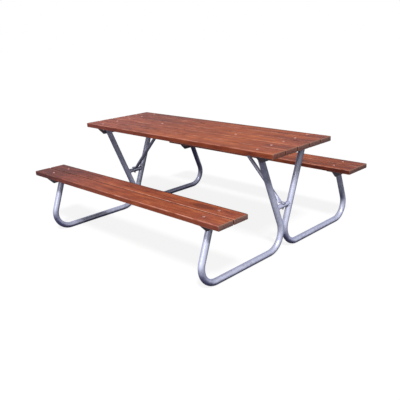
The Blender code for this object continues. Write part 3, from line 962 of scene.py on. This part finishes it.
# Angle irons
# Equal angles with a rolled root, sawn off at the lower corners. They lie under the planks. Their dark,
# brownish colour is partly a dull coat and partly painted shade, tinted by painted bounce light from
# the planks. Their CAD shapes are fine enough to be shown as they are.
# Dark and brownish: partly a dull coat, partly painted shade and painted bounce light
angle_pale = (0.30, 0.24, 0.24, 1.0)
angle_dark_shaded = (0.13, 0.10, 0.105, 1.0)
angle_roughness = 0.5
angle_metallic = 0.3

angle_zinc_and_shade = make_zinc("angle_iron", angle_pale, angle_dark_shaded, angle_roughness, angle_metallic)
for name in sorted(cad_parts):
    if "_angle_" in name:
        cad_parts[name].material_slots[0].material = angle_zinc_and_shade


# Braces
# A round tube from the crossbar up to the middle plank. Both ends are pressed flat, bent level,
# rounded at the corners and drilled for a bolt. Its zinc is rougher than the frame's, and its pale
# tone is painted darker for the shade of the table.
brace_diameter = 0.025
brace_top_x = 0.375
tab_thickness = 0.006
tab_width = 0.035
tab_length = 0.040
tab_corner = 0.009
tab_power = 5.0
round_power = 2.0
neck_length = 0.045
seat_gap = 0.0003
underside = 0.707
brace_sides = 56
corner_steps = 5
neck_steps = 14
brace_crease = math.radians(38)
# The brace's pale tone is painted darker for the table's shade
brace_pale_shaded = (0.70, 0.70, 0.80, 1.0)
brace_dark = (0.150, 0.145, 0.205, 1.0)
brace_roughness = 0.44
brace_metallic = 0.25


def oval(centre, across, up, width, height, power):
    """Points round a section that is oval at power 2 and nearly a flat bar at a higher one."""
    points = []
    for turn in circle_steps(brace_sides):
        side = math.copysign(abs(math.cos(turn)) ** (2 / power), math.cos(turn))
        rise = math.copysign(abs(math.sin(turn)) ** (2 / power), math.sin(turn))
        points.append(centre + across * side * width / 2 + up * rise * height / 2)
    return points


def skin(name, rings):
    """A closed mesh over rings of equally many points."""
    shape = bmesh.new()
    loops = [[shape.verts.new(point) for point in ring] for ring in rings]
    for near, far in zip(loops, loops[1:]):
        for step in range(len(near)):
            after = (step + 1) % len(near)
            shape.faces.new((near[step], near[after], far[after], far[step]))
    shape.faces.new(loops[0])
    shape.faces.new(loops[-1])
    bmesh.ops.recalc_face_normals(shape, faces=shape.faces)
    mesh = bpy.data.meshes.new(name)
    shape.to_mesh(mesh)
    shape.free()
    return mesh


def tab_sections():
    """Sections along a tab from its tip: distance from the tip, width, height and power."""
    sections = []
    for step in range(corner_steps + 1):
        turn = math.pi / 2 * step / corner_steps
        distance = tab_corner * (1 - math.cos(turn))
        width = tab_width - 2 * tab_corner * (1 - math.sin(turn))
        sections.append((distance, width, tab_thickness, tab_power))
    return sections


def neck_sections():
    """Sections up a neck from its bend, where the flat tab swells into the round tube."""
    sections = []
    for step in range(neck_steps + 1):
        share = step / neck_steps
        full = share * share * (3 - 2 * share)
        width = tab_width + (brace_diameter - tab_width) * full
        height = tab_thickness + (brace_diameter - tab_thickness) * full
        power = round_power + (tab_power - round_power) * (1 - share) ** 2.3
        sections.append((neck_length * share, width, height, power))
    return sections


def brace_end(bend, level, slope, way):
    """Rings from the tip of a tab to its bend and up its neck. The way along the brace is 1 from the
    foot and -1 from the top."""
    across = Vector((0.0, 1.0, 0.0))
    rings = []
    for distance, width, height, power in tab_sections():
        centre = bend - level * way * (tab_length - distance)
        rings.append(oval(centre, across, across.cross(level), width, height, power))
    for distance, width, height, power in neck_sections():
        heading = (level + slope).normalized() if distance == 0.0 else slope
        centre = bend + slope * way * distance
        rings.append(oval(centre, across, across.cross(heading), width, height, power))
    return rings


brace_zinc = make_zinc("brace_zinc", brace_pale_shaded, brace_dark, brace_roughness, brace_metallic)
for end, x_side in (("left", -1), ("right", 1)):
    foot_z = crossbar_height + crossbar_radius + seat_gap + tab_thickness / 2
    top_z = underside - seat_gap - tab_thickness / 2
    foot = Vector((x_side * (frame_x - tab_length / 2), 0.0, foot_z))
    top = Vector((x_side * (brace_top_x + tab_length / 2), 0.0, top_z))
    level = Vector((-x_side, 0.0, 0.0))
    slope = (top - foot).normalized()
    rings = brace_end(foot, level, slope, 1) + brace_end(top, level, slope, -1)[::-1]
    brace = bpy.data.objects.new(f"{end}_brace_tube", skin("brace", rings))
    scene.collection.objects.link(brace)
    brace.data.materials.append(brace_zinc)
    brace.data.shade_smooth()
    brace.data.set_sharp_from_angle(angle=brace_crease)
    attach(brace, "root")
    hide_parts(f"brace_{end}")


# Bolts
# Round-headed coach bolts with a washer and a nut, zinc plated: one through each plank and each
# angle iron, and one through each end of a brace. The heads on the planks are pulled a little into
# the wood, and the stain was brushed over them.
bolt_radius = 0.004
head_radius = 0.010
head_height = 0.0043
head_sink = 0.0010
head_steps = 8
washer_radius = 0.0085
washer_height = 0.0016
washer_chamfer = 0.0003
nut_radius = 0.0075
nut_height = 0.0065
nut_chamfer = ((0.0, 0.97), (0.0004, 1.08), (0.0009, 1.16))
thread_pitch = 0.00125
thread_depth = 0.0006
tip_length = 0.004
bolt_sides = 36
bolt_crease = math.radians(35)
plank_thickness = 0.033
angle_thickness = 0.005
plank_grip = plank_thickness + seat_gap + angle_thickness
brace_top_grip = plank_thickness + seat_gap + tab_thickness
brace_foot_grip = tab_thickness + seat_gap + 2 * crossbar_radius
lowest_plank_bolt = 0.45
mark_scale = 900.0
brush_scale = 160.0
plating_pale = (0.52, 0.50, 0.53, 1.0)
plating_dark = (0.36, 0.34, 0.36, 1.0)
plating_stained = (0.42, 0.17, 0.13, 1.0)


def make_bolt_zinc():
    """Zinc plate with fine handling marks, brushed over with stain on the heads above the planks."""
    material, start, shade = new_material("bolt_steel")
    place = start.add("ShaderNodeTexCoord", out="Object")
    mark = noise(place, mark_scale, 3.0, 2.0)
    stain = noise(place, brush_scale, 3.0, 6.0).step(0.45, 0.8)
    facing_up = start.add("ShaderNodeNewGeometry", out="Normal").xyz()[2].step(0.0, 0.2)
    brushed = facing_up * (place.xyz()[2] > lowest_plank_bolt) * (0.9 - stain * 0.2)
    colour = brushed.mix(mark.mix(plating_dark, plating_pale), plating_stained)
    bump = start.add("ShaderNodeBump", {}, {"Strength": 0.2, "Distance": 0.0002, "Height": mark})
    gloss = 0.36 + stain * 0.3 + mark * 0.1
    shade({"Base Color": colour, "Metallic": 0.6, "Roughness": gloss, "Normal": bump})
    return material


def hexagon(turn):
    """The radius of a nut's side at an angle, as a share of its corners' radius."""
    sector = math.pi / 3
    return math.cos(sector / 2) / math.cos((turn + sector / 2) % sector - sector / 2)


def bolt_ring(height, radius_at):
    """Points round the bolt at a height, with a radius for each angle."""
    return [
        Vector((radius_at(turn) * math.cos(turn), radius_at(turn) * math.sin(turn), height))
        for turn in circle_steps(bolt_sides)
    ]


def bolt_rings(grip):
    """Rings from the crown of the head to the tip, for a bolt whose head sits at height 0."""
    def round_ring(radius, height):
        return bolt_ring(height, lambda turn: radius)

    def nut_ring(share, height):
        flat = nut_radius * math.cos(math.pi / 6)
        return bolt_ring(height, lambda turn: min(nut_radius * hexagon(turn), flat * share))

    rings = []
    for step in range(1, head_steps + 1):
        turn = math.pi / 2 * step / head_steps
        rings.append(round_ring(head_radius * math.sin(turn), head_height * math.cos(turn)))
    rings.append(round_ring(head_radius * 0.985, -head_sink))
    rings.append(round_ring(bolt_radius, -head_sink))

    washer_top = -grip - seat_gap
    nut_top = washer_top - washer_height
    nut_low = nut_top - nut_height
    rings.append(round_ring(bolt_radius, washer_top))
    rings.append(round_ring(washer_radius - washer_chamfer, washer_top))
    rings.append(round_ring(washer_radius, washer_top - washer_chamfer))
    rings.append(round_ring(washer_radius, nut_top + washer_chamfer))
    rings.append(round_ring(washer_radius - washer_chamfer, nut_top))
    for depth, share in nut_chamfer:
        rings.append(nut_ring(share, nut_top - depth))
    for depth, share in reversed(nut_chamfer):
        rings.append(nut_ring(share, nut_low + depth))
    rings.append(round_ring(bolt_radius, nut_low))

    thread_radius = bolt_radius - thread_depth
    for thread in range(int(tip_length / thread_pitch)):
        start = nut_low - thread * thread_pitch
        rings.append(round_ring(bolt_radius, start - 0.25 * thread_pitch))
        rings.append(round_ring(thread_radius, start - 0.6 * thread_pitch))
    rings.append(round_ring(thread_radius, nut_low - tip_length))
    return rings


def make_bolt_tree():
    """One bolt at each point of the guide, turned at random."""
    given = new_tree("bolts", {"Bolt": "Object", "Plating": "Material"})
    pattern = given.add("GeometryNodeObjectInfo", {}, {"Object": given.out("Bolt")}, "Geometry")
    turn = {"Min": (0.0, 0.0, 0.0), "Max": (0.0, 0.0, 2 * math.pi), "Seed": 5}
    facing = given.add("FunctionNodeRandomValue", {"data_type": "FLOAT_VECTOR"}, turn)
    values = {"Points": given, "Instance": pattern, "Rotation": facing}
    close_tree(given.add("GeometryNodeInstanceOnPoints", {}, values), given.out("Plating"))
    return given.tree


plating = make_bolt_zinc()
bolt_tree = make_bolt_tree()
bolt_nodes = sorted(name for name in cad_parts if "_bolt_" in name)
groups = {
    "table_and_bench_bolts": ([name for name in bolt_nodes if "brace" not in name], plank_grip),
    "brace_top_bolts": ([name for name in bolt_nodes if "brace_top" in name], brace_top_grip),
    "brace_foot_bolts": ([name for name in bolt_nodes if "brace_foot" in name], brace_foot_grip),
}
for name, (nodes, grip) in groups.items():
    places = []
    for node in nodes:
        low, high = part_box(node)
        places.append(((low.x + high.x) / 2, (low.y + high.y) / 2, high.z - head_height))
    guide = bpy.data.meshes.new(name)
    guide.from_pydata(places, [], [])
    pattern = bpy.data.objects.new("bolt_pattern", skin("bolt", bolt_rings(grip)))
    scene.collection.objects.link(pattern)
    bolts = grown(name, bolt_tree, {"Bolt": pattern, "Plating": plating}, guide)
    bpy.data.objects.remove(pattern)
    bolts.data.shade_smooth()
    bolts.data.set_sharp_from_angle(angle=bolt_crease)
    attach(bolts, "root")
    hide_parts(*nodes)
